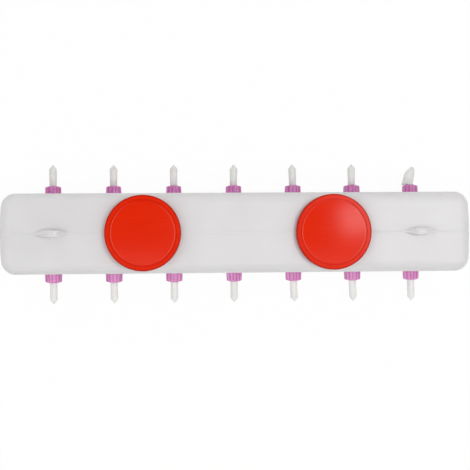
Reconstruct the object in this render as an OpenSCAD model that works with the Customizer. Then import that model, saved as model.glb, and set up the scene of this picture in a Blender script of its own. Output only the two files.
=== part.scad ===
// Multi teat lamb feeder: a long moulded milk tank with a row of screw-on teats on each long side.
// Two push-on lids close the filler necks on its top, and two lugs at the ends take a hanging rope.
// Lengths are millimetres. +Z is up, X runs along the tank, and the origin is the middle of its underside.

/* [Tank] */
// Length over the curved ends
tank_l = 980; // [900:10:1200]
// Width between the outer faces of the long sides
tank_w = 167; // [160:1:230]
// Height from the underside to the flat top
tank_h = 180; // [140:1:240]
// Thickness of the moulded wall
wall = 4; // [3:0.5:6]
// Radius of the four upright corners, seen from above
plan_r = 30; // [27:1:45]
// Radius of the rounded top and bottom edges
edge_r = 22; // [14:1:25]

/* [Filler necks] */
// Distance of a neck from the tank's middle
neck_x = 197; // [180:1:215]
// Outside diameter of a neck
neck_d = 150; // [110:1:152]
// Height of a neck above the flat top
neck_h = 14; // [12:1:24]
// Wall thickness of a neck
neck_wall = 3.5; // [2.5:0.5:5]

/* [Lids] */
// Thickness of the lid's skirt, plug and panel
lid_wall = 3; // [2:0.5:4]
// Width of the raised rim around the lid
rim_w = 9; // [8:0.5:12]
// Rounding of the rim's outer edge
rim_round = 2.5; // [1:0.5:3]
// Width of the groove between rim and panel
groove_w = 3; // [2:0.5:5]
// Depth of that groove
groove_depth = 2; // [1:0.5:3]
// How far the panel's middle stands above its edge
panel_rise = 2.5; // [1:0.5:6]
// How far the plug reaches down inside the neck
plug_depth = 10; // [6:1:11]
// Gap between the skirt's lower edge and the flat top
skirt_gap = 1; // [0.5:0.5:3]

/* [Teat stations] */
// Teats on each long side
stations = 7; // [3:1:7]
// Distance from the tank's end to the nearest teat
end_margin = 100; // [90:5:140]
// Height of the nut's lowest corner above the rounded bottom edge
axis_rise = 1.5; // [0.5:0.5:20]

/* [Spigot and seal] */
// Outside diameter of the threaded stem
stem_d = 22; // [20:0.5:24]
// Length of the stem outside the wall
thread_len = 14; // [10:1:20]
// Bore that the milk runs through
milk_bore_d = 10; // [8:0.5:11]
// Diameter of the flange inside the tank
spigot_flange_d = 32; // [29:0.5:40]
// Thickness of that flange
spigot_flange_t = 4; // [2:0.5:6]
// Chamfer at the stem's open end
stem_lead = 1; // [0.5:0.25:2]
// Thickness of the rubber seal under the flange
seal_t = 3; // [1.5:0.5:5]

/* [Nut] */
// Width of the nut across its flats
nut_af = 33; // [29:0.5:40]
// How much the rounded corners take off the width across corners
nut_corner_cut = 1.2; // [0.5:0.1:3]
// Thickness of the shoulder that holds the teat
nut_shoulder = 4; // [3:0.5:6]
// Height of the sloping outer end
nut_slope = 3.2; // [2:0.2:3.8]
// Width of the flat ring around the teat
nut_ring = 1.2; // [0.5:0.1:2]

/* [Teat] */
// Diameter where the teat leaves the nut
teat_base_d = 15.6; // [14:0.2:17.4]
// Diameter where the tip begins
teat_end_d = 16.6; // [14:0.2:17.4]
// Length outside the nut
teat_len = 45; // [35:1:60]
// Length of the squeezed teat outside the nut
bent_len = 39; // [32:1:50]
// Length of the pointed tip
tip_len = 8.5; // [5:0.5:12]
// Diameter of the blunt point
tip_d = 2.6; // [2:0.2:4]
// Diameter of the hole in the point
tip_hole_d = 1.2; // [0.8:0.1:1.6]
// Thickness of the teat's rubber
teat_wall = 2.6; // [2:0.1:3.4]
// Thickness of the flange that the nut clamps
teat_flange_t = 3; // [2:0.5:4]

/* [Hanging lugs] */
// Distance of a lug's middle from the tank's end
lug_inset = 107; // [100:1:125]
// Length of a lug along the tank
lug_l = 70; // [64:1:80]
// Thickness of a lug at its middle
lug_t = 14; // [10:1:18]
// Radius of the lug's round crown
lug_crown_r = 16; // [13:1:19]
// Diameter of the rope eye
eye_d = 14; // [10:1:16]
// Height of the eye's middle above the flat top
eye_h = 11; // [9.5:0.5:16]
// Distance of the eye from the lug's middle, towards the necks
eye_shift = 4; // [2:1:7]
// How much wider than the lug the rounding of its crown is, on each side
crown_spread = 1; // [0.5:0.5:3]

/* [Fits] */
// Radial clearance of stem, nut and teat
fit = 0.3; // [0.2:0.05:0.4]
// Radial clearance of a lid on its neck
lid_fit = 0.4; // [0.3:0.05:0.8]
// Gap left at faces that a nut or a lid presses together
seat = 0.2; // [0.1:0.05:0.3]

/* [Hidden] */
$fa = 2;
$fs = 0.6;
// Every cut runs this far past the face that it opens
over = 2;

// Rows and node names
rows = ["front", "rear"];
fittings = ["spigot", "teat", "nut"];

// Plan of the tank: the corner arcs run smoothly into the long arc of each end
// Each end curves out by this share of its corners' distance from the middle
// With it the middles of the arcs fall on round numbers, so that the arcs meet exactly
end_bulge_share = 0.04;
corner_y = tank_w / 2 - plan_r;
end_bulge = corner_y * end_bulge_share;
corner_x = tank_l / 2 - plan_r - end_bulge;
end_reach = (corner_y * corner_y + end_bulge * end_bulge) / (2 * end_bulge);
end_arc_r = end_reach + plan_r;
end_arc_x = tank_l / 2 - end_arc_r;
end_half_angle = asin(corner_y / end_reach);

// Teat stations
pitch = (tank_l - 2 * end_margin) / (stations - 1);
nut_ac = nut_af / cos(30);
axis_h = edge_r + max(nut_ac, spigot_flange_d) / 2 + axis_rise;
first_x = -pitch * (stations - 1) / 2;

// Necks and lugs
neck_r = neck_d / 2;
neck_bore_r = neck_r - neck_wall;
lug_x = tank_l / 2 - lug_inset;
lug_root = wall / 2;
// Straight edges of a lug run into its round ones just inside them
lug_blend_share = 0.97;

// Lid heights, counted from the tank's flat top
lid_r = neck_r + lid_fit + lid_wall;
roof_z = neck_h + seat;
rim_top = roof_z + lid_wall;
plug_r = neck_bore_r - lid_fit;
panel_r = lid_r - rim_w - groove_w;
panel_arc_r = (panel_r * panel_r + panel_rise * panel_rise) / (2 * panel_rise);

// Distances along a fitting, outwards from the wall's outer face
seal_z = -wall - seal_t;
spigot_z = seal_z - spigot_flange_t;
teat_z = thread_len + seat;
shoulder_z = teat_z + teat_flange_t + seat;
nut_end = shoulder_z + nut_shoulder;
tip_z = nut_end + teat_len - tip_len;
teat_end = nut_end + teat_len;
thread_r = stem_d / 2 + fit;

// Each nut stops at its own angle, and some teats lean along the tank
nut_turns = [[51, 52, 50, 27, 24, 20, 30], [47, 34, 32, 36, 38, 40, 27]];
teat_leans = [[0, 0, 0, 0, 2.5, 2.5, 0], [0, 0, 0, 1, -1.5, 0, 0]];
// The last teat of the rear row was squeezed flat and hangs over
bent_row = "rear";
bent_station = 7;
bent_sides = 24;
// Its oval rings. The first share is of its length, and the others are of its radius:
// how far the ring lies to the side, half its width and half its thickness
bent_shares = [
    [0.015, 0, 1, 1],
    [0.075, -0.62, 1.5, 0.86],
    [0.13, -0.67, 1.61, 0.77],
    [0.22, -0.53, 1.58, 0.7],
    [0.33, -0.4, 1.55, 0.66],
    [0.45, -0.26, 1.52, 0.65],
    [0.58, -0.1, 1.44, 0.65],
    [0.7, 0.06, 1.31, 0.66],
    [0.79, 0.25, 1.13, 0.66],
    [0.86, 0.43, 0.95, 0.64],
    [0.91, 0.53, 0.76, 0.58],
    [0.96, 0.59, 0.46, 0.43]
];
bent_tip_share = 0.58;

// The tip bulges a little outside a straight cone
tip_knee_share = 0.3;
tip_knee_width_share = 0.84;

// Colours
natural_white = [0.87, 0.86, 0.865];
lid_red = [0.89, 0.17, 0.08];
nut_violet = [0.76, 0.51, 0.68];
rubber_clear = [0.88, 0.88, 0.86];
spigot_white = [0.92, 0.92, 0.9];
seal_black = [0.12, 0.12, 0.12];

// Half of the tank's upright section, from the middle of a corner outwards, taken in by an inset
module corner_section(reach, inset) {
    round_r = edge_r - inset;
    high = tank_h - 2 * inset;
    translate([0, inset]) difference() {
        square([reach, high]);
        for (top = [0, 1]) translate([reach - round_r, top * (high - round_r)]) difference() {
            square(round_r);
            translate([0, (1 - top) * round_r]) circle(round_r);
        }
    }
}

// The tank's full section across its width, taken in by an inset
module cross_section(inset) {
    for (side = [0, 1]) mirror([side, 0]) corner_section(tank_w / 2 - inset, inset);
}

// The room of an end between its two corners: the arcs meet on its slanting sides
module end_wedge() {
    far_x = corner_x + tank_w * cos(end_half_angle);
    far_y = corner_y + tank_w * sin(end_half_angle);
    translate([0, 0, -over]) linear_extrude(tank_h + 2 * over)
        polygon([[corner_x, -corner_y], [far_x, -far_y], [far_x, far_y], [corner_x, corner_y]]);
}

// One end with its two corners, from the corners' middles outwards
module tank_end(inset) {
    intersection() {
        translate([end_arc_x, 0, 0])
            rotate_extrude(angle = 4 * end_half_angle, start = -2 * end_half_angle)
                corner_section(end_arc_r - inset, inset);
        end_wedge();
    }
    for (side = [0, 1]) mirror([0, side, 0]) difference() {
        translate([corner_x, corner_y, 0])
            rotate_extrude(angle = 90) corner_section(plan_r - inset, inset);
        end_wedge();
    }
}

// The rounded body of the tank, taken in by an inset: none for the outside, the wall for the cavity
module tank_body(inset) {
    translate([-corner_x, 0, 0]) rotate([90, 0, 90]) linear_extrude(2 * corner_x) cross_section(inset);
    for (side = [0, 1]) mirror([side, 0, 0]) tank_end(inset);
}

// Where a straight edge from a lug's foot, this far from the eye, runs into its crown, counted from that foot
function crown_touch(away) =
    let (
        inner_r = lug_crown_r * lug_blend_share,
        reach = norm([away, eye_h]),
        slope = atan2(eye_h, away) + asin(inner_r / reach),
        run = sqrt(reach * reach - inner_r * inner_r)
    ) run * [cos(slope), sin(slope)];

// Side view of a lug: a round crown with a short steep inner end and a tail that slopes to the tank's end
module lug_side() {
    tail_x = -lug_l / 2;
    inner_x = lug_l / 2;
    tail_touch = crown_touch(eye_shift - tail_x);
    inner_touch = crown_touch(inner_x - eye_shift);
    translate([eye_shift, eye_h]) circle(lug_crown_r);
    polygon([
        [tail_x, -lug_root],
        [tail_x, 0],
        [tail_x + tail_touch.x, tail_touch.y],
        [eye_shift, eye_h],
        [inner_x - inner_touch.x, inner_touch.y],
        [inner_x, 0],
        [inner_x, -lug_root]
    ]);
}

// Plan of a lug: a lens between two arcs, a little longer than the lug so that its tail ends blunt
module lug_plan() {
    lens_l = lug_l + lug_t / 2;
    arc_r = (lens_l * lens_l + lug_t * lug_t) / (4 * lug_t);
    intersection() {
        translate([0, lug_t / 2 - arc_r]) circle(arc_r);
        translate([0, arc_r - lug_t / 2]) circle(arc_r);
    }
}

// End view of a lug: upright sides with a round crown
module lug_end() {
    crown_r = lug_t / 2 + crown_spread;
    side_y = crown_r * lug_blend_share;
    crown_z = eye_h + lug_crown_r - crown_r;
    translate([-side_y, -lug_root]) square([2 * side_y, crown_z + lug_root]);
    translate([0, crown_z]) circle(crown_r);
}

// A lug on the flat top, with its inner end towards +X
module lug() {
    intersection() {
        translate([0, 0, -lug_root]) linear_extrude(eye_h + lug_crown_r + lug_root + over) lug_plan();
        translate([0, lug_t, 0]) rotate([90, 0, 0]) linear_extrude(2 * lug_t) lug_side();
        translate([-lug_l, 0, 0]) rotate([90, 0, 90]) linear_extrude(2 * lug_l) lug_end();
    }
}

// Puts a piece on the flat top at a distance from the middle, turned round for the other end
module on_both_ends(distance) {
    for (side = [0, 1]) mirror([side, 0, 0]) translate([-distance, 0, tank_h]) children();
}

module tank() {
    color(natural_white) difference() {
        union() {
            tank_body(0);
            on_both_ends(neck_x) translate([0, 0, -edge_r]) cylinder(h = edge_r + neck_h, r = neck_r);
            on_both_ends(lug_x) lug();
        }
        tank_body(wall);
        on_both_ends(neck_x) translate([0, 0, -edge_r])
            cylinder(h = edge_r + neck_h + over, r = neck_bore_r);
        on_both_ends(lug_x) translate([eye_shift, lug_t, eye_h]) rotate([90, 0, 0])
            cylinder(h = 2 * lug_t, d = eye_d);
        for (row = rows) for (k = [1 : stations]) at_station(row, k)
            translate([0, 0, -wall - over]) cylinder(h = wall + 2 * over, r = thread_r);
    }
}

// Half section of a lid, with its heights counted from the tank's flat top
module lid_section() {
    panel_z = rim_top + panel_rise - panel_arc_r;
    difference() {
        union() {
            translate([0, skirt_gap]) square([lid_r - rim_round, rim_top - skirt_gap]);
            translate([0, skirt_gap]) square([lid_r, rim_top - rim_round - skirt_gap]);
            translate([lid_r - rim_round, rim_top - rim_round]) circle(rim_round);
            intersection() {
                translate([0, panel_z]) circle(panel_arc_r);
                translate([0, roof_z]) square([panel_r, lid_wall + panel_rise + over]);
            }
        }
        translate([panel_r, rim_top - groove_depth]) square([groove_w, groove_depth + over]);
        translate([plug_r, skirt_gap - over])
            square([neck_r + lid_fit - plug_r, roof_z - skirt_gap + over]);
        translate([0, skirt_gap - over]) square([plug_r + lid_fit, neck_h - plug_depth - skirt_gap + over]);
        square([plug_r - lid_wall, rim_top - groove_depth - lid_wall]);
        intersection() {
            translate([0, panel_z - lid_wall]) circle(panel_arc_r);
            square([panel_r - lid_wall, rim_top + panel_rise]);
        }
    }
}

module lid(side) {
    color(lid_red) translate([side * neck_x, 0, tank_h]) rotate_extrude() lid_section();
}

// Puts a fitting at its station: it is drawn along +Z, outwards from the wall's outer face
module at_station(row, k) {
    out = row == "front" ? -1 : 1;
    translate([first_x + pitch * (k - 1), out * tank_w / 2, axis_h]) rotate([-90 * out, 0, 0]) children();
}

module spigot() {
    color(spigot_white) rotate_extrude() polygon([
        [milk_bore_d / 2, spigot_z],
        [spigot_flange_d / 2, spigot_z],
        [spigot_flange_d / 2, seal_z],
        [stem_d / 2, seal_z],
        [stem_d / 2, thread_len - stem_lead],
        [stem_d / 2 - stem_lead, thread_len],
        [milk_bore_d / 2, thread_len]
    ]);
}

module seal() {
    color(seal_black) rotate_extrude()
        translate([thread_r, seal_z]) square([spigot_flange_d / 2 - thread_r, seal_t]);
}

module nut(turn) {
    ring_r = teat_base_d / 2 + fit + nut_ring;
    color(nut_violet) rotate([0, 0, turn]) difference() {
        intersection() {
            translate([0, 0, seat]) linear_extrude(nut_end - seat) intersection() {
                circle(d = nut_ac, $fn = 6);
                circle(d = nut_ac - nut_corner_cut);
            }
            rotate_extrude() polygon([
                [0, 0],
                [nut_ac / 2, 0],
                [nut_ac / 2, nut_end - nut_slope],
                [ring_r, nut_end],
                [0, nut_end]
            ]);
        }
        cylinder(h = shoulder_z, r = thread_r);
        translate([0, 0, shoulder_z - over])
            cylinder(h = nut_shoulder + 2 * over, r = teat_base_d / 2 + fit);
    }
}

// A straight teat's body, taken in by an inset: none for its outside, the rubber's thickness for its hollow
module teat_body(inset) {
    end_r = teat_end_d / 2;
    low = inset > 0 ? teat_z - over : teat_z + teat_flange_t / 2;
    rotate_extrude() polygon([
        [0, low],
        [teat_base_d / 2 - inset, low],
        [teat_base_d / 2 - inset, nut_end],
        [end_r - inset, tip_z],
        [end_r * tip_knee_width_share - inset, tip_z + tip_len * tip_knee_share],
        [inset > 0 ? tip_hole_d / 2 : tip_d / 2, teat_end - inset],
        [0, teat_end - inset]
    ]);
}

// Tilts a teat's body along the tank about the middle of the nut's shoulder
module leaning(lean) {
    pivot_z = shoulder_z + nut_shoulder / 2;
    translate([0, 0, pivot_z]) rotate([0, lean, 0]) translate([0, 0, -pivot_z]) children();
}

// A teat with the flange that the nut clamps, its hollow and the hole in its point
module straight_teat(lean) {
    difference() {
        union() {
            translate([0, 0, teat_z]) cylinder(h = teat_flange_t, d = stem_d);
            leaning(lean) teat_body(0);
        }
        leaning(lean) teat_body(teat_wall);
        leaning(lean) translate([0, 0, tip_z]) cylinder(h = tip_len + over, d = tip_hole_d);
    }
}

// Corner points of one oval ring, and of a round one on the fitting's axis
function oval(side, distance, wide, thick) = [
    for (j = [0 : bent_sides - 1])
        let (a = 360 / bent_sides * j) [side + wide * cos(a), thick * sin(a), distance]
];
function ring(distance, r) = oval(0, distance, r, r);

// The squeezed shaft, taken in by an inset, with its hollow no narrower than the hole in the point
function squeezed_shaft(inset) = [
    for (one = bent_shares)
        let (r = teat_base_d / 2, least = tip_hole_d / 2)
            oval(
                one[1] * r,
                nut_end + one[0] * bent_len,
                max(one[2] * r - inset, least),
                max(one[3] * r - inset, least)
            )
];

// The squeezed teat is one closed skin of rings: up its outside, over the point and back down its hollow
module bent_teat() {
    r = teat_base_d / 2;
    flange_top = teat_z + teat_flange_t;
    point_z = nut_end + bent_len;
    point_x = bent_tip_share * r;
    outside = concat(
        [ring(teat_z, stem_d / 2), ring(flange_top, stem_d / 2), ring(flange_top, r)],
        squeezed_shaft(0),
        [oval(point_x, point_z, tip_d / 2, tip_d / 2)]
    );
    hollow = concat(
        [ring(teat_z, r - teat_wall)],
        squeezed_shaft(teat_wall),
        [oval(point_x, point_z, tip_hole_d / 2, tip_hole_d / 2)]
    );
    skin = concat(outside, [for (i = [len(hollow) - 1 : -1 : 0]) hollow[i]]);
    count = len(skin);
    polyhedron(
        points = [for (one = skin) each one],
        faces = [
            for (i = [0 : count - 1]) for (j = [0 : bent_sides - 1]) for (half = [0, 1])
                let (here = i * bent_sides, up = (i + 1) % count * bent_sides, next = (j + 1) % bent_sides)
                    half == 0 ? [here + j, up + j, up + next] : [here + j, up + next, here + next]
        ]
    );
}

module teat(row, k) {
    color(rubber_clear)
        if (row == bent_row && k == bent_station) bent_teat();
        else straight_teat(teat_leans[row == "front" ? 0 : 1][k - 1]);
}

tank();
lid(-1);  // lid_left
lid(1);  // lid_right
for (row = rows) {
    for (k = [1 : stations]) at_station(row, k) seal();
    for (k = [1 : stations]) {
        at_station(row, k) spigot();
        at_station(row, k) teat(row, k);
        at_station(row, k) nut(nut_turns[row == "front" ? 0 : 1][k - 1]);
    }
}
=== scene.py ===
# %% [markdown]
# # A multi teat lamb feeder
# A long milk tank of natural polyethylene lies on the ground, with seven rubber teats on each long side.
# The solids come from a CAD model that is loaded as a fixed frame: tank, lids and seals are kept and get
# a finish, and the soft teats, the nuts and the threaded spigots are made again here with the detail that
# a solid lacks. A fine seam of the mould is added on the tank.

# %% Load the frame
import math

import bmesh
import bpy
from mathutils import Matrix, Vector


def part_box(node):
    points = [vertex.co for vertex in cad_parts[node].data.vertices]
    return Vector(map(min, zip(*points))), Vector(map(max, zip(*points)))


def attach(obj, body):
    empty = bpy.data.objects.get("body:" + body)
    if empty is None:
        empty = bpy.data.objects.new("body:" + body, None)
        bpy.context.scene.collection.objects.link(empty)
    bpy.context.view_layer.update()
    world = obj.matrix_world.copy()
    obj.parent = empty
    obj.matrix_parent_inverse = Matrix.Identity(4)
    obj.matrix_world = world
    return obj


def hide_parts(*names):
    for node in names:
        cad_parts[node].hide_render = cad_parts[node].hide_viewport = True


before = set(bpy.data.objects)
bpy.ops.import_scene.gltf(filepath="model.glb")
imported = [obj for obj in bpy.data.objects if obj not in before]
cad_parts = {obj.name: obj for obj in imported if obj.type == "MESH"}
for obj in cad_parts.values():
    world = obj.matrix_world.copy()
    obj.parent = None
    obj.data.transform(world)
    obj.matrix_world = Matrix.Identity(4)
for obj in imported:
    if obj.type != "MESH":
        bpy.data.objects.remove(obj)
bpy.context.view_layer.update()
MM = 0.001

# %% [markdown]
# ## The camera
# The picture was taken from over the feeder, a little nearer its left end, almost straight down and with
# a long lens, which keeps the tank's sides nearly parallel. A camera can be turned by hand until the
# picture fits. Here its place and its three small turns were solved from the places of nuts, lids and
# outline, which can be checked.

# %% Camera
picture_px = 470
focal_px = 1180.6
sensor_mm = 36
stand_point = (-0.1810, -0.0341, 2.6114)
along_deg, across_deg, roll_deg = -4.091, 0.681, -0.452
camera_data = bpy.data.cameras.new("overhead_camera")
camera_data.sensor_width = sensor_mm
camera_data.lens = focal_px / picture_px * sensor_mm
camera = bpy.data.objects.new("overhead_camera", camera_data)
bpy.context.collection.objects.link(camera)
tilt_along = Matrix.Rotation(math.radians(along_deg), 4, "Y")
tilt_across = Matrix.Rotation(math.radians(across_deg), 4, "X")
roll = Matrix.Rotation(math.radians(roll_deg), 4, "Z")
camera.matrix_world = Matrix.Translation(stand_point) @ tilt_along @ tilt_across @ roll
bpy.context.scene.camera = camera
bpy.context.scene.view_settings.view_transform = "Standard"
print("lens", round(camera_data.lens, 1), "mm")

# %% [markdown]
# ## Colour and nodes
# Colours are written as sRGB hex values, the way a picture editor shows them, and turned to the linear
# values that a renderer counts with. One small helper adds a node, sets its inputs and links it.

# %% Colour and node helpers
def linear(hex_colour):
    values = [int(hex_colour[i:i + 2], 16) / 255 for i in (1, 3, 5)]
    return [v / 12.92 if v <= 0.04045 else ((v + 0.055) / 1.055) ** 2.4 for v in values] + [1]


def add(tree, kind, inputs=None, **settings):
    node = tree.nodes.new(kind)
    for name, value in settings.items():
        setattr(node, name, value)
    for name, value in (inputs or {}).items():
        if isinstance(value, bpy.types.NodeSocket):
            tree.links.new(value, node.inputs[name])
        else:
            node.inputs[name].default_value = value
    return node


def new_material(name):
    material = bpy.data.materials.new(name)
    material.use_nodes = True
    material.node_tree.nodes.clear()
    return material, material.node_tree


print("middle grey in linear values", round(linear("#808080")[0], 3))

# %% [markdown]
# ## The floor
# The feeder was photographed on white. A floor can be lit until it burns out to white, but that light
# would fall on the feeder too. So this floor is white paper that takes the feeder's soft shadow, and most
# of it glows at a strength of 1, which is white, for the camera and for what shines off or through the
# plastic.

# %% Floor
paper, tree = new_material("white_paper_backdrop")
path = add(tree, "ShaderNodeLightPath")
seen = add(tree, "ShaderNodeMath", {0: path.outputs["Is Camera Ray"], 1: path.outputs["Is Glossy Ray"]},
           operation="MAXIMUM")
seen = add(tree, "ShaderNodeMath", {0: seen.outputs[0], 1: path.outputs["Is Transmission Ray"]},
           operation="MAXIMUM")
glowing_part = 0.96
share = add(tree, "ShaderNodeMath", {0: seen.outputs[0], 1: glowing_part}, operation="MULTIPLY")
sheet = add(tree, "ShaderNodeBsdfDiffuse", {"Color": linear("#F4F4F2")})
glow = add(tree, "ShaderNodeEmission", {"Color": linear("#FFFFFF"), "Strength": 1.0})
both = add(tree, "ShaderNodeMixShader", {0: share.outputs[0], 1: sheet.outputs[0], 2: glow.outputs[0]})
add(tree, "ShaderNodeOutputMaterial", {"Surface": both.outputs[0]})
reach, gap_mm = 12, 0.5
floor_data = bpy.data.meshes.new("floor")
floor_corners = [(-reach, -reach, 0), (reach, -reach, 0), (reach, reach, 0), (-reach, reach, 0)]
floor_data.from_pydata(floor_corners, [], [(0, 1, 2, 3)])
floor_data.materials.append(paper)
floor = bpy.data.objects.new("floor", floor_data)
bpy.context.collection.objects.link(floor)
floor.location.z = -gap_mm * MM
print("floor", 2 * reach, "m wide")

# %% [markdown]
# ## The tent
# Such a picture is taken inside a tent of white cloth. The cloth could be built as walls, but a sky whose
# glow changes with height does the same with less. It is bright up to nearly half height, which lights
# the tank's rounded edges, and dim overhead, where the camera looks in, so that the flat lids keep their
# deep red. Plastic mirrors the tent, and only the camera sees plain white in its place.

# %% Tent
world = bpy.data.worlds.new("white_studio")
bpy.context.scene.world = world
world.use_nodes = True
tree = world.node_tree
tree.nodes.clear()
upwards = add(tree, "ShaderNodeSeparateXYZ", {0: add(tree, "ShaderNodeTexCoord").outputs["Generated"]})
tent = add(tree, "ShaderNodeValToRGB", {"Fac": upwards.outputs["Z"]})
tent_glow = ((0.0, 0.64), (0.4, 0.64), (0.75, 0.35), (0.9, 0.2), (1.0, 0.18))
while len(tent.color_ramp.elements) < len(tent_glow):
    tent.color_ramp.elements.new(0.5)
for stop, (height, level) in zip(tent.color_ramp.elements, tent_glow):
    stop.position = height
    stop.color = (level, level, level, 1)
cloth = add(tree, "ShaderNodeBackground", {"Color": tent.outputs["Color"], "Strength": 1.0})
white_behind = add(tree, "ShaderNodeBackground", {"Color": linear("#FFFFFF"), "Strength": 1.0})
path = add(tree, "ShaderNodeLightPath")
both = add(tree, "ShaderNodeMixShader", {0: path.outputs["Is Camera Ray"], 1: cloth.outputs[0],
                                         2: white_behind.outputs[0]})
add(tree, "ShaderNodeOutputWorld", {"Surface": both.outputs[0]})
print("tent", tent_glow[0][1], "bright at the ground and", tent_glow[-1][1], "overhead")

# %% [markdown]
# ## The lamps
# Two large lamps beside the long sides fill the shadows round lids and lugs. The nuts of the near row
# mirror a long strip lamp high above them, so they look paler than those at the back. A small softbox on
# the right puts the pale gloss on the right-hand lid. Spots could light all this too, but their shadows
# would be hard, so each lamp is a wide panel.

# %% Lamps
def softbox(name, place, aim, size, power):
    data = bpy.data.lights.new(name, "AREA")
    data.shape = "RECTANGLE"
    data.size, data.size_y = size
    data.energy = power
    lamp = bpy.data.objects.new(name, data)
    lamp.location = place
    lamp.rotation_mode = "QUATERNION"
    lamp.rotation_quaternion = (Vector(aim) - Vector(place)).to_track_quat("-Z", "Y")
    bpy.context.collection.objects.link(lamp)


softbox("far_side_lamp", place=(-0.6, 2.2, 2.2), aim=(0, 0, 0.1), size=(4, 3), power=19)
softbox("near_side_lamp", place=(-1.1, -2.2, 2.1), aim=(0, 0, 0.1), size=(4, 3), power=12)
softbox("near_strip", place=(-0.2, -0.58, 2.75), aim=(-0.2, -0.58, 0), size=(10, 0.5), power=56)
softbox("lid_softbox", place=(1.1, 0.3, 3.2), aim=(0.2, 0, 0.2), size=(0.54, 0.54), power=21)

# %% [markdown]
# ## Natural polyethylene
# The tank is moulded from polyethylene without pigment: milky, slightly see-through and satin. It could
# be clear with fog inside, but fog in a wall of 4 mm is slow and noisy. Light that scatters under the
# surface gives the eye the same soft edges. The wall is never quite even, so its milkiness drifts by a
# percent or so over a hand's width. The mould leaves a fine orange peel. The real grain is finer than a
# pixel, so it is drawn about 5 mm wide.

# %% Tank material
natural, tree = new_material("natural_polyethylene_moulded")
where = add(tree, "ShaderNodeTexCoord").outputs["Object"]
cloud_mm = 90
cloud = add(tree, "ShaderNodeTexNoise", {"Vector": where, "Scale": 1000 / cloud_mm, "Detail": 3.0,
                                         "Roughness": 0.5})
milk = add(tree, "ShaderNodeValToRGB", {"Fac": cloud.outputs["Fac"]})
for stop, position, tint in zip(milk.color_ramp.elements, (0.3, 0.7), ("#DAD8D9", "#DFDDDE")):
    stop.position = position
    stop.color = linear(tint)
peel_mm = 5
peel = add(tree, "ShaderNodeTexNoise", {"Vector": where, "Scale": 1000 / peel_mm, "Detail": 2.0})
gloss = add(tree, "ShaderNodeMapRange", {"Value": peel.outputs["Fac"], "To Min": 0.38, "To Max": 0.5})
bump = add(tree, "ShaderNodeBump", {"Height": peel.outputs["Fac"], "Strength": 0.25, "Distance": 0.12 * MM})
tank_shader = add(tree, "ShaderNodeBsdfPrincipled", {
    "Base Color": milk.outputs["Color"], "Roughness": gloss.outputs["Result"],
    "Normal": bump.outputs["Normal"], "IOR": 1.51, "Subsurface Weight": 0.6, "Subsurface Scale": 8 * MM,
    "Subsurface Radius": (1.0, 0.95, 0.9)})
add(tree, "ShaderNodeOutputMaterial", {"Surface": tank_shader.outputs[0]})


def finish_node(name, material):
    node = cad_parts[name]
    node.data.materials.clear()
    node.data.materials.append(material)


finish_node("tank", natural)
print("tank", natural.name, "milkiness drifts over", cloud_mm, "mm")

# %% [markdown]
# ## Red polyethylene
# The lids are moulded from red polyethylene, a little shinier than the tank. Handling has left faint dull
# rub marks on them, some centimetres long. Real marks and moulded grain are finer than a millimetre, so
# they are drawn 2 and 3 mm wide. The marks could be strokes drawn one by one, but a noise that is
# stretched one way gives the eye the same.

# %% Lid material
red, tree = new_material("red_polyethylene_soft_gloss")
where = add(tree, "ShaderNodeTexCoord").outputs["Object"]
rub_length_mm, rub_width_mm, rub_deg = 60, 2, 25
stretched = add(tree, "ShaderNodeMapping", {
    "Vector": where, "Scale": (1000 / rub_length_mm, 1000 / rub_width_mm, 1.0),
    "Rotation": (0.0, 0.0, math.radians(rub_deg))})
rubs = add(tree, "ShaderNodeTexNoise", {"Vector": stretched.outputs["Vector"], "Scale": 1.0, "Detail": 4.0})
tone = add(tree, "ShaderNodeValToRGB", {"Fac": rubs.outputs["Fac"]})
for stop, position, tint in zip(tone.color_ramp.elements, (0.35, 0.75), ("#DB2304", "#E02A08")):
    stop.position = position
    stop.color = linear(tint)
gloss = add(tree, "ShaderNodeMapRange", {"Value": rubs.outputs["Fac"], "To Min": 0.17, "To Max": 0.25})
grain_mm = 3
grain = add(tree, "ShaderNodeTexNoise", {"Vector": where, "Scale": 1000 / grain_mm, "Detail": 2.0})
bump = add(tree, "ShaderNodeBump", {"Height": grain.outputs["Fac"], "Strength": 0.15, "Distance": 0.05 * MM})
lid_shader = add(tree, "ShaderNodeBsdfPrincipled", {
    "Base Color": tone.outputs["Color"], "Roughness": gloss.outputs["Result"],
    "Normal": bump.outputs["Normal"], "IOR": 1.51, "Specular IOR Level": 0.1, "Subsurface Weight": 0.05,
    "Subsurface Scale": 2 * MM})
add(tree, "ShaderNodeOutputMaterial", {"Surface": lid_shader.outputs[0]})
for side in ("left", "right"):
    finish_node(f"lid_{side}", red)
print("lids", red.name)
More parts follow.
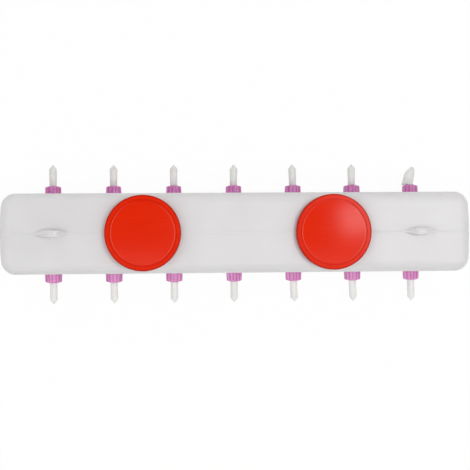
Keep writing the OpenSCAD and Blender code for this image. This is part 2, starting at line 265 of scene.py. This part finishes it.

# %% [markdown]
# ## The lids' painted rim shade and edge highlight
# The rounded rim and the wall under it are painted a deeper red than the flat top, as painted shade, and
# the edge of the panel is painted pale towards the lid's two sides, as a painted highlight. Both could be
# materials of their own, but colours that change with the distance from the lid's axis leave the lid in
# one piece. The two lids stand alike on both sides of the tank's middle, so one distance serves both.

# %% Lid painted rim shade and edge highlight
lid_low, lid_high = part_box("lid_right")
lid_r, lid_x = (lid_high.x - lid_low.x) / 2, (lid_high.x + lid_low.x) / 2
along = add(tree, "ShaderNodeSeparateXYZ", {0: where})
off_middle = add(tree, "ShaderNodeMath", {0: along.outputs["X"]}, operation="ABSOLUTE")
off_middle = add(tree, "ShaderNodeMath", {0: off_middle.outputs[0], 1: lid_x}, operation="SUBTRACT")
flat = add(tree, "ShaderNodeCombineXYZ", {"X": off_middle.outputs[0], "Y": along.outputs["Y"]})
radius = add(tree, "ShaderNodeVectorMath", {0: flat.outputs[0]}, operation="LENGTH").outputs["Value"]
# Painted shade: the outer few millimetres of the rim are mixed towards a darker red.
rim_shade_from_mm, rim_shade_to_mm = 4, 1
rim_shade_mask = add(tree, "ShaderNodeMapRange", {"Value": radius, "From Min": lid_r - rim_shade_from_mm * MM,
                                        "From Max": lid_r - rim_shade_to_mm * MM})
rim_shade_red = linear("#AE1803")
shaded = add(tree, "ShaderNodeMix", {0: rim_shade_mask.outputs["Result"], 6: tone.outputs["Color"], 7: rim_shade_red},
             data_type="RGBA")
# Painted highlight: a thin pale ring along the panel's edge, paler towards the lid's two sides.
rim_mm, groove_mm = 9, 3
panel_r = lid_r - (rim_mm + groove_mm) * MM
highlight_from_mm, highlight_full_mm, highlight_past_mm, most_highlight = 2.4, 0.8, 0.1, 0.45
highlight_in = add(tree, "ShaderNodeMapRange", {"Value": radius, "From Min": panel_r - highlight_from_mm * MM,
                                           "From Max": panel_r - highlight_full_mm * MM})
highlight_out = add(tree, "ShaderNodeMapRange", {"Value": radius, "From Min": panel_r + highlight_past_mm * MM,
                                            "From Max": panel_r})
ring = add(tree, "ShaderNodeMath", {0: highlight_in.outputs["Result"], 1: highlight_out.outputs["Result"]},
           operation="MULTIPLY")
sideways = add(tree, "ShaderNodeMath", {0: off_middle.outputs[0], 1: off_middle.outputs[0]},
               operation="MULTIPLY")
highlight_sideways = add(tree, "ShaderNodeMapRange", {"Value": sideways.outputs[0], "From Max": panel_r * panel_r,
                                        "To Max": most_highlight})
edge_highlight = add(tree, "ShaderNodeMath", {0: ring.outputs[0], 1: highlight_sideways.outputs["Result"]}, operation="MULTIPLY")
highlight_red = linear("#F0745E")
shaded = add(tree, "ShaderNodeMix", {0: edge_highlight.outputs[0], 6: shaded.outputs[2], 7: highlight_red},
             data_type="RGBA")
tree.links.new(shaded.outputs[2], lid_shader.inputs["Base Color"])
print("lid radius", round(lid_r, 4), "m, panel radius", round(panel_r, 4), "m")

# %% [markdown]
# ## Violet polypropylene
# The nuts are moulded from violet polypropylene with a soft gloss. The furrows between their grip ribs
# are painted a darker violet, as painted shade, which the eye sees as streaks beside the crests. The
# streaks could be painted from a map, but a hollow in the mesh tells by itself where the furrows lie, so
# each nut gets its own. The grain is drawn 2 mm wide, coarser than it is.

# %% Nut material
violet, tree = new_material("violet_polypropylene_soft_gloss")
where = add(tree, "ShaderNodeTexCoord").outputs["Object"]
swirl_mm = 14
swirl = add(tree, "ShaderNodeTexNoise", {"Vector": where, "Scale": 1000 / swirl_mm, "Detail": 2.0,
                                         "Distortion": 0.6})
tone = add(tree, "ShaderNodeValToRGB", {"Fac": swirl.outputs["Fac"]})
for stop, position, tint in zip(tone.color_ramp.elements, (0.3, 0.7), ("#D67BBB", "#DE89C7")):
    stop.position = position
    stop.color = linear(tint)
# Painted shade: where the mesh is hollow, in the furrows between the ribs, the colour goes to a darker
# violet.
bulge = add(tree, "ShaderNodeNewGeometry").outputs["Pointiness"]
level_at, furrow_at = 0.5, 0.47
furrow_shade_mask = add(tree, "ShaderNodeMapRange", {"Value": bulge, "From Min": level_at, "From Max": furrow_at})
furrow_shade_violet = linear("#A0508A")
furrow_shaded_tone = add(tree, "ShaderNodeMix", {0: furrow_shade_mask.outputs["Result"], 6: tone.outputs["Color"], 7: furrow_shade_violet},
            data_type="RGBA")
grain_mm = 2
grain = add(tree, "ShaderNodeTexNoise", {"Vector": where, "Scale": 1000 / grain_mm, "Detail": 2.0})
gloss = add(tree, "ShaderNodeMapRange", {"Value": grain.outputs["Fac"], "To Min": 0.14, "To Max": 0.2})
bump = add(tree, "ShaderNodeBump", {"Height": grain.outputs["Fac"], "Strength": 0.15, "Distance": 0.05 * MM})
nut_shader = add(tree, "ShaderNodeBsdfPrincipled", {
    "Base Color": furrow_shaded_tone.outputs[2], "Roughness": gloss.outputs["Result"], "Normal": bump.outputs["Normal"],
    "IOR": 1.49, "Subsurface Weight": 0.1, "Subsurface Scale": 2 * MM})
add(tree, "ShaderNodeOutputMaterial", {"Surface": nut_shader.outputs[0]})
print("nuts", violet.name)

# %% [markdown]
# ## Clear silicone rubber
# The teats are clear silicone rubber, a little hazy. They let some light through, so the white ground
# shows in them and only their edges look grey. A fully clear shader would show every inner wall and need
# many samples. A small share of clear over a milky body looks the same from where the camera stands.
# The rear row lies in more shade than the front one, so its rubber is a copy of the same material with
# darker tones, as painted shade.

# %% Teat material
rubber, tree = new_material("clear_silicone_rubber_moulded")
where = add(tree, "ShaderNodeTexCoord").outputs["Object"]
haze_mm = 9
haze = add(tree, "ShaderNodeTexNoise", {"Vector": where, "Scale": 1000 / haze_mm, "Detail": 3.0})
tone = add(tree, "ShaderNodeValToRGB", {"Fac": haze.outputs["Fac"]})
for stop, position, tint in zip(tone.color_ramp.elements, (0.3, 0.7), ("#F4F4F0", "#FAFAF7")):
    stop.position = position
    stop.color = linear(tint)
gloss = add(tree, "ShaderNodeMapRange", {"Value": haze.outputs["Fac"], "To Min": 0.3, "To Max": 0.42})
bump = add(tree, "ShaderNodeBump", {"Height": haze.outputs["Fac"], "Strength": 0.1, "Distance": 0.1 * MM})
teat_shader = add(tree, "ShaderNodeBsdfPrincipled", {
    "Base Color": tone.outputs["Color"], "Roughness": gloss.outputs["Result"],
    "Normal": bump.outputs["Normal"], "IOR": 1.41, "Transmission Weight": 0.12,
    "Subsurface Weight": 0.1, "Subsurface Scale": 3 * MM})
add(tree, "ShaderNodeOutputMaterial", {"Surface": teat_shader.outputs[0]})


def retoned(material, name, tints):
    other = material.copy()
    other.name = name
    for node in other.node_tree.nodes:
        if node.type == "VALTORGB":
            for stop, tint in zip(node.color_ramp.elements, tints):
                stop.color = linear(tint)
    return other


# Painted shade: a darker copy of the rubber for the rear row.
rear_shade_rubber = retoned(rubber, "clear_silicone_rubber_rear_shade", ("#E5E5E2", "#ECECE9"))
print("teats", rubber.name, "and", rear_shade_rubber.name)

# %% [markdown]
# ## White fittings and black seals
# White polypropylene spigots come through the wall, and black rubber rings seal them on the inside. They
# show only when a nut is drawn off or a lid is lifted. Both could have wear of their own, but a plain
# colour with a grain is enough there: satin on the one, matt on the other. The grain is drawn 2 mm wide,
# as on the nuts.

# %% Spigot and seal materials
white, tree = new_material("white_polypropylene_satin")
where = add(tree, "ShaderNodeTexCoord").outputs["Object"]
grain = add(tree, "ShaderNodeTexNoise", {"Vector": where, "Scale": 1000 / grain_mm, "Detail": 2.0})
gloss = add(tree, "ShaderNodeMapRange", {"Value": grain.outputs["Fac"], "To Min": 0.35, "To Max": 0.45})
spigot_shader = add(tree, "ShaderNodeBsdfPrincipled", {
    "Base Color": linear("#EBEBE6"), "Roughness": gloss.outputs["Result"], "IOR": 1.49,
    "Subsurface Weight": 0.1, "Subsurface Scale": 2 * MM})
add(tree, "ShaderNodeOutputMaterial", {"Surface": spigot_shader.outputs[0]})

black, tree = new_material("black_rubber_matt")
where = add(tree, "ShaderNodeTexCoord").outputs["Object"]
grain = add(tree, "ShaderNodeTexNoise", {"Vector": where, "Scale": 1000 / grain_mm, "Detail": 3.0})
tone = add(tree, "ShaderNodeValToRGB", {"Fac": grain.outputs["Fac"]})
for stop, tint in zip(tone.color_ramp.elements, ("#1A1A1A", "#2A2A29")):
    stop.color = linear(tint)
seal_shader = add(tree, "ShaderNodeBsdfPrincipled", {
    "Base Color": tone.outputs["Color"], "Roughness": 0.8, "IOR": 1.52})
add(tree, "ShaderNodeOutputMaterial", {"Surface": seal_shader.outputs[0]})
ROWS = ("front", "rear")
for row in ROWS:
    finish_node(f"seals_{row}", black)
print("materials", [m.name for m in bpy.data.materials if m.node_tree and m.users])

# %% [markdown]
# ## Skins made of rings
# Teats, nuts and spigots are all moulded round an axis that points out of the tank's side. They could be
# spun from a profile, but thread, ribs and squeezed rubber aren't round. So each is a closed skin through
# a row of rings, up its outside and back down its bore, where the last ring joins the first. The rings
# are worked out in millimetres along that axis, counted from the outside of the wall, and then set at the
# fitting's station. A piece without a bore has its two ends closed by a face instead.

# %% Ring helpers
tank_low, tank_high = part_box("tank")
wall_y = (tank_high.y - tank_low.y) / 2


def station(row, k):
    low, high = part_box(f"spigot_{row}_{k}")
    out = -1 if row == "front" else 1
    axis_x, axis_z = (low.x + high.x) / 2, (low.z + high.z) / 2
    turn = Matrix.Rotation(math.radians(-90 * out), 4, "X")
    return Matrix.Translation((axis_x, out * wall_y, axis_z)) @ turn @ Matrix.Scale(MM, 4)


def round_ring(distance, radius, sides):
    return [Vector((radius * math.cos(a), radius * math.sin(a), distance))
            for a in (2 * math.pi * j / sides for j in range(sides))]


def skin(name, rings, place, material, sharp_deg, bored=True):
    sides = len(rings[0])
    last = (len(rings) - 1) * sides
    strips = [(low, low + sides) for low in range(0, last, sides)] + ([(last, 0)] if bored else [])
    faces = [(low + j, low + (j + 1) % sides, high + (j + 1) % sides, high + j)
             for low, high in strips for j in range(sides)]
    if not bored:
        faces += [tuple(range(sides)), tuple(range(last, last + sides))]
    mesh = bpy.data.meshes.new(name)
    mesh.from_pydata([place @ p for ring in rings for p in ring], [], faces)
    work = bmesh.new()
    work.from_mesh(mesh)
    bmesh.ops.recalc_face_normals(work, faces=work.faces)
    work.to_mesh(mesh)
    work.free()
    mesh.shade_smooth()
    mesh.set_sharp_from_angle(angle=math.radians(sharp_deg))
    mesh.materials.append(material)
    piece = bpy.data.objects.new(name, mesh)
    bpy.context.collection.objects.link(piece)
    return piece


print("outside of the wall at y", round(wall_y, 4))

# %% [markdown]
# ## The screw thread
# Each fitting's stem carries a screw thread of 3 mm pitch for the nut, which shows when the nut is drawn
# off. A bump would do from afar, but its outline shows too, so it is modelled: each ring's radius swings
# between crest and root with the angle, and fades out at both ends of the thread.

# %% Thread
thread_pitch, thread_crest, thread_root = 3.0, 11.0, 10.0
thread_from, thread_to = 0.8, 13.4
ridge_top, ridge_slope, fade_in, fade_out = 2.2, 6.5, 1.2, 0.9
spigot_sides, thread_steps = 48, 56


def thread_radius(distance, angle):
    phase = (distance / thread_pitch - angle / (2 * math.pi)) % 1
    ridge = min(1, max(0, ridge_top - abs(phase - 0.5) * ridge_slope))
    fade = min(1, max(0, (distance - thread_from) / fade_in), max(0, (thread_to - distance) / fade_out))
    return thread_crest - (thread_crest - thread_root) * (1 - ridge) * fade


def thread_ring(distance):
    ring = []
    for j in range(spigot_sides):
        a = 2 * math.pi * j / spigot_sides
        r = thread_radius(distance, a)
        ring.append(Vector((r * math.cos(a), r * math.sin(a), distance)))
    return ring


print("thread", round((thread_to - thread_from) / thread_pitch, 1), "turns")

# %% [markdown]
# ## The spigots
# A spigot is pushed through the wall from inside. Its disc presses the seal on the wall, its stem comes
# out on the other side, and milk runs through its bore. The thread could be wound round the plain solid
# as a piece of its own, but a moulded spigot is one piece, so it is made again as one skin: disc, thread
# and the stem's end, and back through the bore.

# %% Spigots
STATIONS = range(1, 8)
disc_back, disc_face, disc_r, disc_round = -11.0, -7.0, 16.0, 0.6
stem_end, milk_bore_r, bore_round = 14.0, 5.0, 0.4
lead_in, tip_back, tip_drop = 0.2, 0.1, 0.3


def spigot_rings():
    root = ((disc_back, milk_bore_r), (disc_back, disc_r - disc_round), (disc_back + disc_round, disc_r),
            (disc_face, disc_r), (disc_face, thread_crest), (thread_from - lead_in, thread_crest))
    end = ((stem_end - tip_back, thread_root + tip_drop), (stem_end, thread_root),
           (stem_end, milk_bore_r + bore_round), (stem_end - bore_round, milk_bore_r))
    thread_length = thread_to - thread_from
    thread = [thread_ring(thread_from + thread_length * i / thread_steps) for i in range(thread_steps + 1)]
    return [round_ring(*one, spigot_sides) for one in root] + thread \
        + [round_ring(*one, spigot_sides) for one in end]


for row in ROWS:
    for k in STATIONS:
        piece = skin(f"threaded_spigot_{row}_{k}", spigot_rings(), station(row, k), white, sharp_deg=40)
        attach(piece, "tank")
        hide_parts(f"spigot_{row}_{k}")
print("spigots", len(ROWS) * len(STATIONS))

# %% [markdown]
# ## The nut's outline
# Each nut is a hexagon with well rounded corners, 33 mm across its flats. It narrows a little towards its
# outer end, so that it leaves the mould, and has twelve low grip ribs, one at each corner and one along
# each flat. Its end slopes up to a ring round the teat. It could be cut from a prism and bevelled. Here
# hexagon, ribs, slope and foot are radii at each angle, joined with a soft minimum, which rounds every
# edge as a mould does.

# %% Nut outline
nut_flats, nut_corner_r, nut_seat, nut_end, nut_slope = 33.0, 18.5, 0.2, 21.4, 3.2
nut_crown_share, round_r, ring_r, draft = 0.3, 16.9, 9.3, 0.06
rib_count, rib_height, rib_mean = 12, 1.3, 0.64
corner_spare, foot_cut, foot_rise = 0.1, 0.5, 2.0
corner_blend, slope_blend, foot_blend = 1.0, 0.9, 0.8


def soft_min(a, b, blend):
    h = max(blend - abs(a - b), 0) / blend
    return min(a, b) - h * h * blend / 4


def nut_radius(distance, angle):
    facet = (angle + math.pi / 6) % (math.pi / 3) - math.pi / 6
    flat = nut_flats / 2 / math.cos(math.pi / 6 - abs(facet))
    rib = rib_height * (abs(math.cos(rib_count / 2 * angle)) - rib_mean)
    crowned = flat + nut_crown_share * (round_r - flat) + rib - draft * (distance - nut_seat)
    hexagon = soft_min(crowned, nut_corner_r + corner_spare, corner_blend)
    slope = ring_r + (nut_end - distance) * (nut_corner_r - ring_r) / nut_slope
    foot = nut_corner_r - foot_cut + (distance - nut_seat) * foot_rise
    return soft_min(soft_min(hexagon, slope, slope_blend), foot, foot_blend)


halfway = [nut_radius(nut_end / 2, math.radians(a)) for a in range(60)]
print("nut radius halfway up", round(min(halfway), 1), "to", round(max(halfway), 1), "mm")

# %% [markdown]
# ## The nuts
# Inside, a nut has a bore that takes the stem, a shoulder that presses on the teat's flange, and a hole
# that the teat comes out of. The thread in the bore faces the wall and hardly shows, so it is left out.
# Each nut stopped at its own angle. The pieces could be turned, but a piece stays where its solid is, so
# the rings are turned as they are made.

# %% Nuts
shoulder_at, bore_r, teat_hole_r = 17.4, 11.3, 8.1
ring_round, hole_round, mouth_rise, mouth_flare = 0.5, 0.4, 0.8, 0.6
nut_sides = 120
nut_heights = (nut_seat, 0.5, 0.9, 1.4, 4, 8, 12, 15, 16.5, 17.2, 17.7, 18.1, 18.4, 18.7, 19, 19.4, 19.8,
               20.3, 20.8, 21.2)
nut_turns = {"front": (51, 52, 50, 27, 24, 20, 30), "rear": (47, 34, 32, 36, 38, 40, 27)}


def nut_ring(distance, turn_deg):
    ring = []
    for j in range(nut_sides):
        a = 2 * math.pi * j / nut_sides
        r = nut_radius(distance, a)
        turned = a + math.radians(turn_deg)
        ring.append(Vector((r * math.cos(turned), r * math.sin(turned), distance)))
    return ring


def nut_rings(turn_deg):
    bore = ((nut_end, ring_r - ring_round), (nut_end, teat_hole_r + hole_round),
            (nut_end - hole_round, teat_hole_r), (shoulder_at, teat_hole_r), (shoulder_at, bore_r),
            (nut_seat + mouth_rise, bore_r), (nut_seat, bore_r + mouth_flare))
    return [nut_ring(d, turn_deg) for d in nut_heights] + [round_ring(*one, nut_sides) for one in bore]


for row in ROWS:
    for k in STATIONS:
        rings = nut_rings(nut_turns[row][k - 1])
        piece = skin(f"hex_nut_{row}_{k}", rings, station(row, k), violet, sharp_deg=60)
        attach(piece, f"nut_{row}_{k}")
        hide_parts(f"nut_{row}_{k}")
print("nuts", len(ROWS) * len(STATIONS))

# %% [markdown]
# ## The teats
# A teat is a hollow rubber finger: a flange under the nut, a shaft that swells a little towards its end,
# and a cone with a milk hole in its point. Four of them lean a little along the tank. They could be bent
# with a lattice, but it is enough to lean the rings outside the nut, and the root stays straight in its
# hole. The last teat at the back has been squeezed flat, so it comes in a step of its own.

# %% Straight teats
flange_from, flange_to, flange_r, flange_round = 14.2, 17.2, 11.0, 0.3
root_r, root_flare, hollow_r, milk_hole_r = 7.8, 0.4, 5.2, 0.6
teat_sides = 48
teat_leans = {"front": (0, 0, 0, 0, 2.5, 2.5, 0), "rear": (0, 0, 0, 1, -1.5, 0, 0)}
squeezed_teat = ("rear", 7)
shaft = ((nut_end, root_r), (23.0, 7.9), (30, 8.0), (42, 8.1), (52, 8.25), (56, 8.3), (57.4, 8.2),
         (58.3, 7.75), (59.2, 7.0), (64.6, 2.2), (65.6, 1.5), (66.2, 1.2), (66.4, 0.9))
inside = ((66.4, milk_hole_r), (63.4, milk_hole_r), (62.6, 1.0), (58.6, 4.6), (56.5, 5.5), (52, 5.6),
          (nut_end, hollow_r), (flange_from, hollow_r))


def foot_rings():
    foot = ((flange_from, flange_r - flange_round), (flange_from + flange_round, flange_r),
            (flange_to - flange_round, flange_r), (flange_to, flange_r - flange_round),
            (flange_to, root_r + root_flare), (flange_to + flange_round, root_r))
    return [round_ring(*one, teat_sides) for one in foot]


def straight_rings(lean_deg):
    lean = Matrix.Translation((0, 0, nut_end)) @ Matrix.Rotation(math.radians(lean_deg), 4, "Y") \
        @ Matrix.Translation((0, 0, -nut_end))
    return foot_rings() + [[lean @ p if d > nut_end else p for p in round_ring(d, r, teat_sides)]
                           for d, r in shaft + inside]


def make_teat(row, k, rings):
    # The rear row takes the darker rubber, as painted shade.
    finish = rubber if row == "front" else rear_shade_rubber
    piece = skin(f"rubber_teat_{row}_{k}", rings, station(row, k), finish, sharp_deg=50)
    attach(piece, f"teat_{row}_{k}")
    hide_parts(f"teat_{row}_{k}")


straight_teats = [(row, k) for row in ROWS for k in STATIONS if (row, k) != squeezed_teat]
for row, k in straight_teats:
    make_teat(row, k, straight_rings(teat_leans[row][k - 1]))
print("straight teats", len(straight_teats))

# %% [markdown]
# ## The squeezed teat
# The last teat at the back has been squeezed flat and hangs over. A simulation of soft rubber could
# squeeze it, but its end shape would be hard to steer. Here its rings become wide ovals that drift off
# the axis and droop over the nut's slope, each given by its distance from the wall, its shift along the
# tank, its half width, its half thickness and its droop.

# %% Squeezed teat
teat_wall = 2.6
hollow_from = 4
squeezed = ((nut_end, 0, root_r, root_r, 0), (22.2, -0.5, 8.4, 7.7, 0), (23.3, -3.6, 10.8, 7.1, 2.4),
            (24.8, -5.2, 12.4, 6.7, 5.0), (27, -5.6, 13.0, 6.0, 5.4), (30.4, -4.6, 12.6, 5.5, 4.2),
            (34.4, -3.3, 12.1, 5.1, 2.6), (39, -2.0, 11.9, 5.0, 1.2), (44, -0.8, 11.3, 5.0, 0),
            (48.7, 0.5, 10.2, 5.1, 0), (52.2, 2.0, 8.9, 5.1, 0), (55, 3.4, 7.4, 5.0, 0),
            (57, 4.2, 5.8, 4.5, 0), (58.9, 4.5, 3.7, 3.3, 0), (60, 4.5, 2.2, 2.0, 0),
            (60.4, 4.5, 1.2, 1.2, 0))


def oval_ring(distance, shift, half_wide, half_thick, droop):
    angles = (2 * math.pi * j / teat_sides for j in range(teat_sides))
    return [Vector((shift + half_wide * math.cos(a), half_thick * math.sin(a),
                    distance - droop * max(-math.cos(a), 0) ** 2)) for a in angles]


def squeezed_rings():
    outer = [oval_ring(*one) for one in squeezed]
    inner = []
    for distance, shift, half_wide, half_thick, droop in reversed(squeezed[hollow_from:]):
        inner_wide = max(half_wide - teat_wall, milk_hole_r)
        inner_thick = max(half_thick - teat_wall, milk_hole_r)
        inner.append(oval_ring(distance, shift, inner_wide, inner_thick, droop / 2))
    root_hollow = [round_ring(d, hollow_r, teat_sides) for d in (nut_end, flange_from)]
    return foot_rings() + outer + inner + root_hollow


make_teat(*squeezed_teat, squeezed_rings())
print("squeezed teat", squeezed_teat, "with", len(squeezed), "oval rings")

# %% [markdown]
# ## The mould's parting line
# The two halves of the tank's mould met along the middle, and left a fine raised seam from one end over
# the top to the other. It runs up to the necks and over the lugs. A line could be drawn on the tank's
# mesh by hand, but the profile is made of straight runs and arcs, so its points follow from the tank's
# own sizes. The crown of a lug is an arc round its eye, and two slopes touch that arc.

# %% Parting line
half_l, top_z, edge_r = 490.0, 180.0, 22.0
neck_at, neck_r = 197.0, 75.0
lug_at, lug_half, eye_in, eye_up, crown_r = 383.0, 35.0, 4.0, 11.0, 16.0
crown_steps, edge_steps = 16, 12


def crown_touch(away):
    to_eye = math.hypot(away, eye_up)
    slope = math.atan2(eye_up, away) + math.asin(crown_r / to_eye)
    run = math.sqrt(to_eye * to_eye - crown_r * crown_r)
    return run * math.cos(slope) - away, run * math.sin(slope), slope


def lug_line():
    eye_x = lug_at - eye_in
    inner_dx, inner_z, inner_slope = crown_touch(lug_half - eye_in)
    outer_dx, outer_z, outer_slope = crown_touch(lug_half + eye_in)
    line = [(lug_at - lug_half, top_z), (eye_x + inner_dx, top_z + inner_z)]
    first, last = math.pi / 2 + inner_slope, math.pi / 2 - outer_slope
    for i in range(1, crown_steps):
        a = first + (last - first) * i / crown_steps
        line.append((eye_x + crown_r * math.cos(a), top_z + eye_up + crown_r * math.sin(a)))
    return line + [(eye_x - outer_dx, top_z + outer_z), (lug_at + lug_half, top_z)]


def end_line():
    line = [(neck_at + neck_r, top_z)] + lug_line()
    for i in range(edge_steps + 1):
        a = math.pi / 2 * (1 - i / edge_steps)
        line.append((half_l - edge_r + edge_r * math.cos(a), top_z - edge_r + edge_r * math.sin(a)))
    return line + [(half_l, edge_r)]


print("parting line at each end", len(end_line()), "points")

# %% [markdown]
# ## The seam on it
# A bump would need a map of the tank, so a thin half-round bead is swept along that line, with its edges
# sunk into the wall. It has the tank's finish without the scattering, a shade paler: light that goes into
# so thin a bead is lost, and the seam would look dark.

# %% Seam
bead_w, bead_h, bead_sink, bead_steps = 2.2, 0.18, 0.4, 6
upright = 0.01
seam = retoned(natural, "natural_polyethylene_seam", ("#DFDDDE", "#E3E1E2"))
for node in seam.node_tree.nodes:
    if node.type == "BSDF_PRINCIPLED":
        node.inputs["Subsurface Weight"].default_value = 0.0


def bead_ring(before, here, after):
    run = (Vector(after) - Vector(before)).normalized()
    up = Vector((-run.y, 0, run.x))
    if up.z < -upright or (abs(up.z) <= upright and up.x * here[0] < 0):
        up = -up
    middle = Vector((here[0], 0, here[1]))
    ring = []
    for j in range(bead_steps + 1):
        a = math.pi * j / bead_steps
        sunk = bead_sink if j in (0, bead_steps) else 0
        across = Vector((0, bead_w / 2 * math.cos(a), 0))
        ring.append(middle + across + up * (bead_h * math.sin(a) - sunk))
    return ring


def bead(name, line):
    rings = [bead_ring(*three) for three in zip(line[:1] + line, line, line[1:] + line[-1:])]
    piece = skin(name, rings, Matrix.Scale(MM, 4), seam, sharp_deg=50, bored=False)
    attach(piece, "tank")


bead("parting_line_middle", [(neck_r - neck_at, top_z), (0, top_z), (neck_at - neck_r, top_z)])
bead("parting_line_right", end_line())
bead("parting_line_left", [(-x, z) for x, z in end_line()])
print("seam", bead_w, "mm wide and", bead_h, "mm high")
